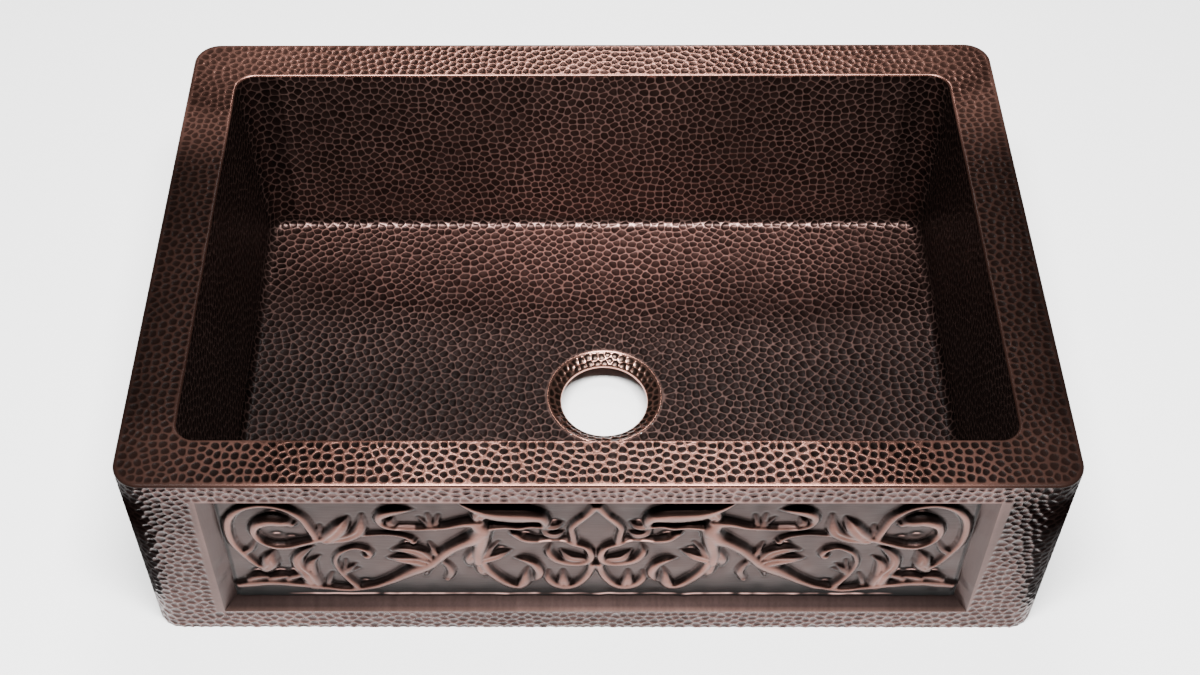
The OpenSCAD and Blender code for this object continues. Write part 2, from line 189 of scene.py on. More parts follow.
def rim_sheet(length, depth, lip, turn):
    """One mitred side of the rim: rows run from the bowl's mouth out over the rolled edge to the lip."""
    t = np.linspace(0, 1, steps(length, RIM_GRID) + 1)
    mitre = pi / 4
    rows, worked = [], []

    def curve(half, level, r):
        """Half a corner arc, a straight and half a corner arc, with outward normals."""
        arc = r * mitre
        s = t * (2 * (half + arc))
        a = np.clip((arc - s) / r, 0, mitre)
        b = np.clip((s - arc - 2 * half) / r, 0, mitre)
        x = -half + np.clip(s - arc, 0, 2 * half) - r * np.sin(a) + r * np.sin(b)
        out = -np.cos(np.maximum(a, b))
        return gather(x, -level + r * out), gather(np.sin(b) - np.sin(a), out)

    def add_row(line, z, share):
        rows.append(np.column_stack([line, np.full(len(line), z)]))
        worked.append(share)

    mouth, mouth_out = curve(length / 2 - RIM_W - MOUTH_R, depth / 2 - RIM_W - MOUTH_R, MOUTH_R)
    outer, outer_out = curve(length / 2 - CORNER_R, depth / 2 - CORNER_R, CORNER_R - EDGE_R)
    for a in np.linspace(0, pi / 2, 5)[:-1]:
        line = mouth + mouth_out * MOUTH_EDGE * (1 - cos(a))
        add_row(line, SINK_H - MOUTH_EDGE + MOUTH_EDGE * sin(a), 0.0)
    start = mouth + mouth_out * MOUTH_EDGE
    flat = RIM_W - EDGE_R - MOUTH_EDGE
    count = steps(flat, RIM_ROWS)
    for k in range(count + 1):
        f = k / count
        share = min(1.0, (f * flat + 0.4) / 1.6) * min(1.0, max(0.0, ((1 - f) * flat - 0.2) / 2.5))
        add_row(start * (1 - f) + outer * f, SINK_H, share)
    for a in np.linspace(0, pi / 2, 7)[1:]:
        add_row(outer + outer_out * EDGE_R * sin(a), SINK_H - EDGE_R + EDGE_R * cos(a), 0.0)
    drop = lip - EDGE_R
    count = steps(drop, LIP_ROWS)
    for k in range(1, count + 1):
        f = k / count
        share = min(1.0, f * 2.0) * min(1.0, (1 - f) * 3) if lip == BACK_LIP else 0.0
        add_row(outer + outer_out * EDGE_R, SINK_H - EDGE_R - drop * f, share)
    p = np.array(rows)
    angle = radians(turn)
    c, s = round(cos(angle)), round(sin(angle))
    p = gather(p[..., 0] * c - p[..., 1] * s, p[..., 0] * s + p[..., 1] * c, p[..., 2])
    n = facing(grid_normal(p), (len(p) // 3, len(t) // 2), (0, 0, 1))
    return p, n, np.repeat(np.array(worked)[:, None], len(t), 1), None


def bowl_plan(z):
    """Half width, half depth and sideways shift of the bowl at a height."""
    down = (SINK_H - z) / BOWL_DEPTH
    return MOUTH_X - END_DRAFT * down, MOUTH_Y - FACE_DRAFT * down, FLOOR_SHIFT * down


def end_wall_sheet(side):
    """Left (-1) or right (1) wall with its corners. Columns run along the wall, rows run up."""
    a, b, c = bowl_plan(PAN_TOP)
    arc = MOUTH_R * pi / 2
    lead = a - MOUTH_R + c * side - SEAM_X
    edges = np.cumsum([0, lead, arc, 2 * (b - MOUTH_R), arc, lead])
    t = spread(*zip(edges[:-1], edges[1:], (CORNER_GRID, CORNER_GRID, END_GRID, CORNER_GRID, CORNER_GRID)))
    z = spread((PAN_TOP, SINK_H - SHEET, END_GRID))[:, None]
    # straight from the seam, corner, straight along the end, corner, straight to the other seam
    part = np.clip(np.searchsorted(edges, t, side="right") - 1, 0, 4)
    f = (t - edges[part]) / np.diff(edges)[part]
    a, b, c = bowl_plan(z)
    cx, cy, seam = side * (a - MOUTH_R) + c, b - MOUTH_R, side * SEAM_X
    across, along = MOUTH_R * np.sin(f * pi / 2), MOUTH_R * np.cos(f * pi / 2)
    x = np.choose(part, [seam + (cx - seam) * f, cx + side * across, cx + side * MOUTH_R, cx + side * along,
                         cx + (seam - cx) * f])
    y = np.choose(part, [-b, -cy - along, -cy + 2 * cy * f, cy + across, b])
    p = gather(x, y, z)
    n = facing(grid_normal(p), (len(z) // 2, len(t) // 2), (-side, 0, 0))
    return p, n, np.ones(x.shape), None


def long_wall_sheet(side, spacing):
    """Back (1) or front (-1) wall between the upright seams."""
    x = spread((-SEAM_X, SEAM_X, spacing))
    z = spread((PAN_TOP, SINK_H - SHEET, spacing))[:, None]
    p = gather(x, side * bowl_plan(z)[1], z)
    return p, facing(grid_normal(p), (0, 0), (0, -side, 0)), np.ones(p.shape[:2]), None


def pan_sheet():
    """Floor pan: a flat middle that bends up all round, open for the drain dish."""
    a, b, c = bowl_plan(PAN_TOP)
    ax, by, r = a - FLOOR_R, b - FLOOR_R, MOUTH_R - FLOOR_R
    bend = FLOOR_R * pi / 2

    def across(half):
        end = half + bend
        return spread((-end, -half, BEND_GRID), (-half, half, FLOOR_GRID), (half, end, BEND_GRID))

    gx, gy = np.meshgrid(c + across(ax), across(by))
    # nearest point on the flat's round-cornered outline
    qx, qy = np.clip(gx - c, -(ax - r), ax - r), np.clip(gy, -(by - r), by - r)
    dx, dy = gx - c - qx, gy - qy
    dist = np.hypot(dx, dy)
    ux, uy = dx / np.maximum(dist, TINY), dy / np.maximum(dist, TINY)
    base_x, base_y = c + qx + ux * np.minimum(dist, r), qy + uy * np.minimum(dist, r)
    turn = np.clip(dist - r, 0, bend) / FLOOR_R
    p = gather(base_x + ux * FLOOR_R * np.sin(turn), base_y + uy * FLOOR_R * np.sin(turn),
               FLOOR_Z + FLOOR_R * (1 - np.cos(turn)))
    n = gather(-ux * np.sin(turn), -uy * np.sin(turn), np.cos(turn))
    # the vertices next to the drain opening are pulled onto its circle
    rx, ry = p[..., 0] - DRAIN_X, p[..., 1] - DRAIN_Y
    from_drain = np.hypot(rx, ry)
    near = np.abs(from_drain - DISH_R) < 1.1
    scale = np.where(near, DISH_R / np.maximum(from_drain, TINY), 1.0)
    p[..., 0], p[..., 1] = DRAIN_X + rx * scale, DRAIN_Y + ry * scale
    outside = dist - r > bend + 1e-6
    keep = ~np.all(corners(outside), 0) & ~np.any(corners((from_drain < DISH_R) & ~near), 0)
    w = ease((np.hypot(p[..., 0] - DRAIN_X, p[..., 1] - DRAIN_Y) - DISH_R) / 3.0)
    return p, n, w, keep


def outline_walk(s):
    """Point and outward normal on the sink's outline, s from the middle of the front to the right."""
    side, d = np.sign(s), np.abs(s)
    straight, arc, flank = SINK_W / 2 - CORNER_R, CORNER_R * pi / 2, SINK_D - 2 * CORNER_R
    turn = np.clip((d - straight) / CORNER_R, 0, pi / 2)
    up = np.clip(d - straight - arc, 0, flank)
    rear_turn = np.clip((d - straight - arc - flank) / CORNER_R, 0, pi / 2)
    back = np.clip(d - straight - 2 * arc - flank, 0, None)
    x = np.minimum(d, straight) + CORNER_R * np.sin(turn) - CORNER_R * (1 - np.cos(rear_turn)) - back
    y = FRONT_Y + CORNER_R * (1 - np.cos(turn)) + up + CORNER_R * np.sin(rear_turn)
    return side * x, y, side * np.sin(turn + rear_turn), -np.cos(turn + rear_turn)


def upright_sheet(s, z):
    x, y, nx, ny = outline_walk(s)
    level = z[:, None]
    return gather(x, y, level), gather(nx, ny, 0 * level)


def apron_sheet():
    s = spread((-WRAP_S, -WINDOW_X, APRON_GRID), (-WINDOW_X, WINDOW_X, MIDDLE_GRID),
               (WINDOW_X, WRAP_S, APRON_GRID))
    z = spread((0, WINDOW_Z0, APRON_GRID), (WINDOW_Z0, WINDOW_Z1, APRON_GRID),
               (WINDOW_Z1, SINK_H - LIP, TOP_ROWS))
    p, n = upright_sheet(s, z)
    gs, gz = np.meshgrid(s, z)
    sm, zm = (gs[1:, 1:] + gs[:-1, :-1]) / 2, (gz[1:, 1:] + gz[:-1, :-1]) / 2
    keep = ~((np.abs(sm) < WINDOW_X) & (zm > WINDOW_Z0) & (zm < WINDOW_Z1))
    # the border is left smooth beside the recess, a little wider at the lower left and the upper right
    margin = np.where(gs < 0, 8.0 - 3.0 * (gz - 30) / 185, 1.0 + 9.0 * (gz - 30) / 185)
    beside = np.abs(gs) - WINDOW_X - np.clip(margin, 1, 11)
    below, above = WINDOW_Z0 - gz - 1.2, gz - WINDOW_Z1 - 1.6
    return p, n, ease(np.maximum(np.maximum(beside, below), above) / 2.2), keep


def skirt_sheet(side):
    s = spread((WRAP_S, SKIRT_S + CORNER_R * pi / 2 + BACK_RETURN - CORNER_R, SKIRT_GRID))
    z = spread((0, SINK_H - LIP, SKIRT_GRID))
    p, n = upright_sheet(side * s, z)
    gs, gz = np.meshgrid(s, z)
    # behind the corner the skirt ends below the rim's turned-down lip
    behind = gs[1:, 1:] > SKIRT_S + CORNER_R * pi / 4
    keep = ~(behind & (gz[1:, 1:] > SINK_H - BACK_LIP + 0.2))
    return p, n, np.ones(p.shape[:2]), keep


def dish_sheet():
    """Hammered cone from the floor down to the hole, with a bead round it and a rounded lower edge."""
    bead = [(DISH_R, 0.0), (DISH_R - 0.5, 0.45), (DISH_R - 1.3, 0.5), (DISH_R - 2.2, -0.1)]
    (r, z), (low_r, low_z) = bead[-1], (HOLE_R + 1.6, -DISH_DROP + 0.9)
    cone = [(r + (low_r - r) * k / CONE_ROWS, z + (low_z - z) * k / CONE_ROWS)
            for k in range(1, CONE_ROWS + 1)]
    neck = [(HOLE_R + 0.7, -DISH_DROP + 0.1), (HOLE_R + 0.1, -DISH_DROP - 0.8), (HOLE_R, -DISH_DROP - NECK)]
    r, z = np.array(bead + cone + neck).T[:, :, None]
    t = np.linspace(0, 2 * pi, steps(2 * pi * DISH_R, DISH_GRID) + 1)
    p = gather(DRAIN_X + r * np.cos(t), DRAIN_Y + r * np.sin(t), FLOOR_Z + z)
    w = np.zeros(p.shape[:2])
    w[len(bead) + 1:len(bead) + CONE_ROWS] = 1
    return p, facing(grid_normal(p), (len(bead) + CONE_ROWS // 2, 0), (0, 0, 1)), w, None


# Painted light and shade: how much lighter or darker each point is drawn, from the smooth points, their
# # normals, how far they are worked, and the hammered points


def rim_painted_sheen(p, n, w, front):
    """Painted sheen: brightest along the middle of the rim, darkest on the ends, and a little darker on the
    rounded edges.
    """
    x, y = p[..., 0], p[..., 1]
    near = profile(np.abs(x), (60, 0.8), (180, 0.84), (300, 0.22), (350, 0.085), (420, 0.035))
    near = near * profile(y, (-235, 1.0), (-195, 0.6))
    far = profile(x, (-420, 0.75), (-330, 1.0), (-150, 0.76), (150, 0.76), (330, 0.82), (420, 0.4))
    f = ease((y - 90) / 165) ** 1.8
    return (near * (1 - f) + far * f) * (0.8 + 0.2 * ease(w * 10))


def rim_contrast(p):
    """How strongly the rim's marks differ from the metal between them."""
    x, back = np.abs(p[..., 0]), ease((p[..., 1] - 120) / 110)
    near = profile(x, (100, 1.0), (330, 0.86), (400, 0.62))
    return near * (1 - back) + profile(x, (200, 0.8), (360, 0.62)) * back


def apron_painted_shade(p, n, w, front):
    """Painted shade: towards the corners more and more of each mark is darkened, from its lower inner side,
    and the wrapped ends are dark; the upper apron is drawn lighter in the middle and the lower apron a little
    darker there.
    """
    x, z = p[..., 0], p[..., 2]
    out, right = np.abs(x), x > 0
    tilt = grid_normal(front)
    tilt *= np.sign(np.sum(tilt * n, -1, keepdims=True))
    # the painted dark zone is widest below the rim and ends above the apron's lower edge
    start_right = profile(z, (0, 436), (30, 418), (56, 403), (111, 388), (183, 370), (240, 366))
    start_left = profile(z, (0, 450), (30, 440), (56, 420), (111, 404), (183, 389), (240, 386))
    lean = tilt[..., 0] - n[..., 0] * profile(z, (25, 1.0), (70, 0.0))
    past = (out - np.where(right, start_right, start_left)) / profile(z, (111, 55), (183, 80))
    dark = lean * np.sign(x) + 0.8 * tilt[..., 2] + past
    level = np.where(z > 120, profile(out, (60, 1.5), (260, 1.03)), profile(out, (100, 0.8), (300, 0.97)))
    upper = ((183, 0.5), (212, 0.55), (228, 1.0))
    ends_right = profile(z, (111, 0.92), *upper)
    ends_left = profile(z, (30, 0.93), (111, 0.74), *upper)
    level = level * (1 - (1 - np.where(right, ends_right, ends_left)) * ease((out - 345) / 8))
    flank = ease((np.abs(n[..., 0]) - 0.9) / 0.1)
    return (1 - 0.89 * ease(dark / 0.3 + 0.5)) * level * (1 - flank) + SIDE_PAINTED_SHADE * flank


# the same painted light or shade all over a sheet; 1.0 leaves it as it is
def even_painted_shade(level):
    return lambda p, n, w, front: np.full(w.shape, level)


def end_wall_painted_shade(p, n, w, front):
    """Painted shade: darkest on the ends themselves, lighter where the corners turn to the front and back."""
    return 0.1 + 0.57 * ease(np.abs(n[..., 1]) * 1.3 - 0.35)


# painted light: the back wall is drawn brighter in the middle
def back_wall_painted_light(p, n, w, front):
    return profile(np.abs(p[..., 0]), (60, 1.45), (280, 1.1))


def floor_painted_light(p, n, w, front):
    """Painted light and shade: brightest along the back, lighter on the right than on the left, darker
    towards the ends and where the floor bends up at them.
    """
    x, y = p[..., 0], p[..., 1]
    level = profile(y, (-190, 0.25), (-20, 0.16), (60, 0.27), (120, 0.57), (190, 0.86))
    level = level * profile(np.abs(x), (60, 1.12), (260, 0.78), (350, 0.6))
    level = level * profile(x, (-300, 0.88), (0, 1.0), (250, 1.15))
    return level * (1 - 0.6 * ease(np.abs(n[..., 0]) * 1.5))


def drain_painted_light(p, n, w, front):
    """Painted light: the neck is drawn bright."""
    return np.where(p[..., 2] < FLOOR_Z - DISH_DROP - 0.5, 2.6, 1.0)


# For each piece: smooth sheet, slot, depth of the marks, share of their radius left between them, and painted
# shading
PIECES = {
    "rim_front": (rim_sheet(SINK_W, SINK_D, LIP, 0), "rim_copper", 0.28, 0.08, rim_painted_sheen),
    "rim_back": (rim_sheet(SINK_W, SINK_D, BACK_LIP, 180), "rim_copper", 0.28, 0.08, rim_painted_sheen),
    "rim_left": (rim_sheet(SINK_D, SINK_W, LIP, -90), "rim_copper", 0.4, 0.02, rim_painted_sheen),
    "rim_right": (rim_sheet(SINK_D, SINK_W, LIP, 90), "rim_copper", 0.4, 0.02, rim_painted_sheen),
    "bowl_back_wall": (long_wall_sheet(1, 1.4), "bowl_copper", 0.45, 0.02, back_wall_painted_light),
    "bowl_front_wall": (long_wall_sheet(-1, 1.8), "bowl_copper", 0.6, 0.02, even_painted_shade(1.0)),
    "bowl_left_wall": (end_wall_sheet(-1), "bowl_copper", 0.6, 0.02, end_wall_painted_shade),
    "bowl_right_wall": (end_wall_sheet(1), "bowl_copper", 0.6, 0.02, end_wall_painted_shade),
    "bowl_floor": (pan_sheet(), "bowl_copper", 0.4, 0.02, floor_painted_light),
    "apron_frame": (apron_sheet(), "apron_copper", 0.85, 0.05, apron_painted_shade),
    "left_skirt": (skirt_sheet(-1), "apron_copper", 0.8, 0.02, even_painted_shade(SIDE_PAINTED_SHADE)),
    "right_skirt": (skirt_sheet(1), "apron_copper", 0.8, 0.02, even_painted_shade(SIDE_PAINTED_SHADE)),
    "drain_dish": (dish_sheet(), "drain_copper", 0.55, 0.1, drain_painted_light),
}
smooth_sheets = [piece[0] for piece in PIECES.values()]

# Hammer blows


def strike():
    """Centres of the hammer blows, spread over all sheets at once so that the marks run on across seams."""
    rng = np.random.default_rng(11)
    pool = []
    for p, _, w, _ in smooth_sheets:
        pts = p[w > STRUCK]
        pool.append(pts[rng.random(len(pts)) < TRIED])
    pool = np.vstack(pool)
    rng.shuffle(pool)
    cells, kept = {}, []
    around = [(i, j, k) for i in (-1, 0, 1) for j in (-1, 0, 1) for k in (-1, 0, 1)]
    for (x, y, z), (i, j, k) in zip(pool.tolist(), np.floor(pool / PITCH).astype(int).tolist()):
        near = (q for a, b, c in around for q in cells.get((i + a, j + b, k + c), ()))
        if all((u - x) ** 2 + (v - y) ** 2 + (w - z) ** 2 >= PITCH * PITCH for u, v, w in near):
            cells.setdefault((i, j, k), []).append((x, y, z))
            kept.append((x, y, z))
    return np.array(kept)


def plant(points):
    found = KDTree(len(points))
    for i, co in enumerate(points.tolist()):
        found.insert(co, i)
    found.balance()
    return found


blows = strike()
blow_tree = plant(blows)
for _ in range(2):
    # each blow moves towards the middle of the metal nearest to it, which evens out the marks
    total, count = np.zeros((len(blows), 3)), np.zeros(len(blows))
    for p, _, w, _ in smooth_sheets:
        pts = p[::2, ::2][w[::2, ::2] > STRUCK]
        own = np.array([blow_tree.find(co)[1] for co in pts.tolist()])
        np.add.at(total, own, pts)
        np.add.at(count, own, 1)
    count = count[:, None]
    blows = np.where(count > 3, 0.3 * blows + 0.7 * total / np.maximum(count, 1), blows)
    blow_tree = plant(blows)
blow_tone = np.random.default_rng(5).random(len(blows))
blow_deep = np.random.default_rng(6).uniform(0.75, 1.2, len(blows))


def nearest_two(p):
    """Numbers of the two blows nearest to each point."""
    ids = [[found[1] for found in blow_tree.find_n(co, 2)] for co in p.reshape(-1, 3).tolist()]
    return np.array(ids).reshape(*p.shape[:2], 2)


def onto_edges(p, n, w, one, two):
    """Moves that bring vertices near the edge between two marks onto it, where this folds no face."""
    gap = two - one
    apart = np.maximum(norm(gap, axis=-1), TINY)
    far, near = norm(p - two, axis=-1), norm(p - one, axis=-1)
    off = (far ** 2 - near ** 2) / (2 * apart)
    move = np.where((off < SNAP) & (w > 0.3), off, 0)[..., None] * gap / apart[..., None]
    move -= n * np.sum(move * n, -1, keepdims=True)
    move[0], move[-1], move[:, 0], move[:, -1] = 0, 0, 0, 0

    def turned(q, corner):
        c = corners(q)
        return np.cross(c[(corner + 1) % 4] - c[corner], c[corner - 1] - c[corner])

    for _ in range(3):
        bad = np.zeros((len(p) - 1, p.shape[1] - 1), bool)
        for corner in range(4):
            was, now = turned(p, corner), turned(p + move, corner)
            bad |= np.sum(was * now, -1) < 0.12 * np.sum(was * was, -1)
        for part in corners(move):
            part[bad] = 0
    return move


def nearest_three(p, ids):
    """Centres of the three blows nearest to each face, with which the material draws the marks' edges."""
    pool = np.stack([v for k in (ids[..., 0], ids[..., 1]) for v in corners(k)], -1)
    middle = sum(corners(p)) / 4
    away = norm(blows[pool] - middle[..., None, :], axis=-1)
    order = np.argsort(away, axis=-1)
    pool, away = np.take_along_axis(pool, order, -1), np.take_along_axis(away, order, -1)
    # a blow that comes up again counts as far away
    far = np.zeros(pool.shape)
    far[..., 1:] = AWAY * (pool[..., 1:] == pool[..., :-1])
    order = np.argsort(away + far, axis=-1, kind="stable")[..., :3]
    return blows[np.take_along_axis(pool, order, -1)] + np.take_along_axis(far, order, -1)[..., None]


def hammer(p, n, w, depth, land):
    """Hammered points, how far each is worked, a tone for each mark, and the blows nearest to each face."""
    ids = nearest_two(p)
    one, two = blows[ids[..., 0]], blows[ids[..., 1]]
    p = p + onto_edges(p, n, w, one, two)
    near = norm(p - one, axis=-1)
    far = np.maximum(norm(p - two, axis=-1), near)
    inward = 1 - 2 * near / np.maximum(near + far, TINY)
    bowl = ease((inward - land * 0.6) / 0.7)
    h = -depth * blow_deep[ids[..., 0]] * (1 - (1 - bowl) ** 2.0) * w
    return p + n * h[..., None], ease(w * 1.6), blow_tone[ids[..., 0]], nearest_three(p, ids)


# Meshes


def in_scene(name, data):
    """New object with this data, put into the scene."""
    obj = bpy.data.objects.new(name, data)
    bpy.context.scene.collection.objects.link(obj)
    return obj


def new_piece(name, slot, verts, faces, attrs, smooth, node=None, around=None):
    mesh = bpy.data.meshes.new(name)
    mesh.vertices.add(len(verts))
    mesh.vertices.foreach_set("co", (np.asarray(verts) * MM).astype(np.float32).ravel())
    faces = np.asarray(faces)
    count, sides = faces.shape
    mesh.loops.add(faces.size)
    mesh.loops.foreach_set("vertex_index", faces.astype(np.int32).ravel())
    mesh.polygons.add(count)
    mesh.polygons.foreach_set("loop_start", np.arange(0, faces.size, sides, dtype=np.int32))
    mesh.polygons.foreach_set("loop_total", np.full(count, sides, dtype=np.int32))
    mesh.update(calc_edges=True)
    for key, values in attrs.items():
        layer = mesh.attributes.new(key, "FLOAT", "POINT")
        layer.data.foreach_set("value", np.asarray(values, dtype=np.float32).ravel())
    for k in range(0 if around is None else 3):
        layer = mesh.attributes.new(f"blow_{k}", "FLOAT_VECTOR", "FACE")
        layer.data.foreach_set("vector", (around[:, k] * MM).astype(np.float32).ravel())
    mesh.validate()
    mesh.polygons.foreach_set("use_smooth", np.full(len(mesh.polygons), smooth))
    mesh.materials.append(coppers[slot])
    obj = in_scene(name, mesh)
    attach(obj, "root")
    if node:
        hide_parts(node)


def in_use(faces):
    """Numbers of the vertices that the faces use, and the faces renumbered to them."""
    used, inverse = np.unique(faces, return_inverse=True)
    return used, inverse.reshape(faces.shape)


def open_edges(quads, size):
    """Edges that belong to one face only, running as that face does."""
    edges = np.concatenate([quads[:, [k, (k + 1) % 4]] for k in range(4)])
    key = np.sort(edges, 1).astype(np.int64)
    _, first, count = np.unique(key[:, 0] * size + key[:, 1], return_index=True, return_counts=True)
    return edges[first[count == 1]].T


def shell(name, slot, front, base, normal, ridge, tone, shade, keep=None, rows=(), cols=(), around=None):
    """A sheet of metal: the worked face, a plainer back face, and the cut edges between them."""
    m, n = front.shape[:2]
    if keep is None:
        keep = np.ones((m - 1, n - 1), bool)
    index = np.arange(m * n).reshape(m, n)
    quads = np.stack(corners(index), -1)[keep]
    front, back = front.reshape(-1, 3), (base - normal * SHEET).reshape(-1, 3)
    ridge, tone, shade = ridge.reshape(-1), tone.reshape(-1), shade.reshape(-1)
    a, b, c = front[quads[len(quads) // 2][:3]]
    against = np.dot(np.cross(b - a, c - a), normal.reshape(-1, 3)[quads[len(quads) // 2][0]]) < 0
    if against:
        quads = quads[:, ::-1]
    used, faces = in_use(quads)
    e0, e1 = open_edges(quads, m * n)
    k = len(e0)
    cut = len(used) + np.arange(k)
    cut_faces = np.stack([cut + k, cut, cut + 2 * k, cut + 3 * k], -1)
    # the back keeps the grid lines that it is given besides every sixth one
    rows = np.unique(np.r_[np.arange(0, m, BACK_STEP), m - 1, rows]).astype(int)
    cols = np.unique(np.r_[np.arange(0, n, BACK_STEP), n - 1, cols]).astype(int)
    kept = keep[np.ix_((rows[:-1] + rows[1:] - 1) // 2, (cols[:-1] + cols[1:] - 1) // 2)]
    back_quads = np.stack(corners(index[np.ix_(rows, cols)]), -1)[kept]
    if not against:
        back_quads = back_quads[:, ::-1]
    back_used, back_faces = in_use(back_quads)
    bare_edge, bare_back = 0.9, 0.35
    if around is not None:
        around = np.concatenate([around[keep], np.zeros((k + len(back_quads), 3, 3))])
        bare_edge, bare_back = 0.0, 0.0
    attrs = {
        "ridge": np.r_[ridge[used], np.full(4 * k, bare_edge), np.full(len(back_used), bare_back)],
        "tone": np.r_[tone[used], np.full(4 * k + len(back_used), 0.5)],
        "shade": np.r_[shade[used], shade[np.r_[e0, e1, e0, e1]], 0.6 * shade[back_used]],
    }
    verts = np.vstack([front[used], front[e0], front[e1], back[e0], back[e1], back[back_used]])
    faces = np.vstack([faces, cut_faces, back_faces + len(used) + 4 * k])
    new_piece(name, slot, verts, faces, attrs, True, name, around)


# Raised scrollwork: one half of it. Each stem or leaf runs through points of
# (distance from the panel's middle, height, half width, rise above the panel)
STEMS = {
    "volute_ring": [(251, 143, 5, 5), (256, 160, 4.5, 5), (262, 178, 4.5, 5), (275, 192, 4.5, 5),
        (294, 198, 4.5, 5), (313, 192, 4.5, 5), (326, 176, 5, 5), (330, 155, 5, 5), (328, 134, 4.5, 4.5),
        (321, 117, 4, 4.5), (313, 101, 3.5, 4.5), (304, 90, 4.5, 4)],
    "volute_tongue": [(244, 143, 5, 5), (262, 137, 5, 6), (276, 131, 5.5, 6), (290, 131, 5, 6),
        (302, 140, 4, 6), (307, 153, 4.5, 6), (303, 166, 6, 6.5), (291, 173, 8, 7),
        (279, 171, 7, 6.5), (272, 165, 3, 3)],
    "main_stem": [(108, 170, 8, 7), (102, 158, 10, 8.5), (107, 146, 10, 8), (120, 136, 8, 7.5),
        (133, 124, 7, 7), (143, 111, 6.5, 7), (152, 100, 8, 7), (163, 92, 9, 7), (176, 82, 7, 6.5),
        (190, 71, 5.5, 6), (207, 61, 5, 5.5), (228, 56, 4.5, 5), (252, 59, 5, 5),
        (275, 65, 6, 5.5), (300, 68, 6.5, 5.5), (319, 66, 7, 5.5), (331, 62, 5, 4.5)],
    "upper_stem": [(162, 187, 1, 1), (172, 188, 5, 4.5), (184, 186, 7, 6), (192, 179, 5.5, 5.5),
        (193, 170, 4.2, 5), (188, 163, 4, 5), (179, 160, 4, 5), (166, 159, 4, 5), (150, 160, 4, 5),
        (134, 163, 4.5, 5.5), (119, 168, 6, 6), (106, 170, 8, 7)],
    "top_wing": [(120, 199, 2, 3), (108, 193, 6, 7), (94, 187, 10, 9), (78, 184, 12, 9.5), (62, 183, 12, 9.5),
        (50, 179, 8, 8), (45, 169, 5, 6.5), (47, 161, 3, 4)],
    "lower_jaw": [(95, 162, 5, 6), (82, 165, 4, 6), (70, 162, 4.5, 5.5), (59, 164, 4, 5),
        (48, 162, 3.5, 4.5)],
    "small_scroll": [(221, 59, 4.5, 5), (230, 75, 3.5, 4.5), (237, 92, 3.2, 4), (238, 106, 3.2, 4),
        (232, 119, 3.2, 4), (219, 127, 3.2, 4), (209, 124, 3.5, 4.5), (205, 117, 3.5, 4.5)],
    "tendril": [(222, 144, 4, 5), (210, 148, 3, 4), (198, 149, 2.8, 3.5), (185, 149, 2.8, 3.5),
        (174, 146, 3.2, 3.5), (167, 141, 4, 4)],
    "branch": [(102, 150, 9, 8), (104, 133, 7.5, 7), (107, 117, 6.5, 6.5), (107, 104, 6, 6)],
    "low_crescent": [(104, 102, 5, 5), (99, 88, 5.5, 5.5), (90, 74, 5.5, 5.5), (79, 63, 5.5, 5),
        (70, 61, 5.5, 5), (65, 69, 6.5, 5), (64, 80, 4, 4), (62, 91, 0.8, 1)],
    "inner_crescent": [(74, 107, 1, 1), (65, 106, 4.5, 4.5), (56, 98, 5.5, 5.5), (52, 86, 5.5, 5.5),
        (54, 75, 4, 4), (58, 66, 1, 1)],
    "middle_strap": [(1, 194, 5, 5), (8, 182, 4, 5), (16, 171, 4.5, 5), (22, 160, 4, 5), (21, 147, 4, 5),
        (20, 135, 4, 5)],
    "upper_loop": [(74, 150, 4, 4), (66, 143, 5, 5), (54, 139, 5, 5), (42, 140, 4, 4.5), (31, 140, 4, 4.5),
        (20, 135, 4, 5), (9, 128, 4, 5), (4.5, 117, 4.5, 5.5), (6, 107, 4.5, 5.5), (14, 101, 4.5, 5),
        (26, 102, 5, 5), (37, 109, 5.5, 5.5), (43, 120, 4, 4.5), (41, 131, 1, 1)],
    "lower_loop": [(3, 99, 5, 5), (5, 88, 4.5, 5), (10, 75, 4.5, 5), (18, 64, 5, 5), (28, 60, 5.5, 5),
        (38, 65, 5.5, 5), (44, 75, 4.5, 4.5), (43, 86, 1, 1)],
}
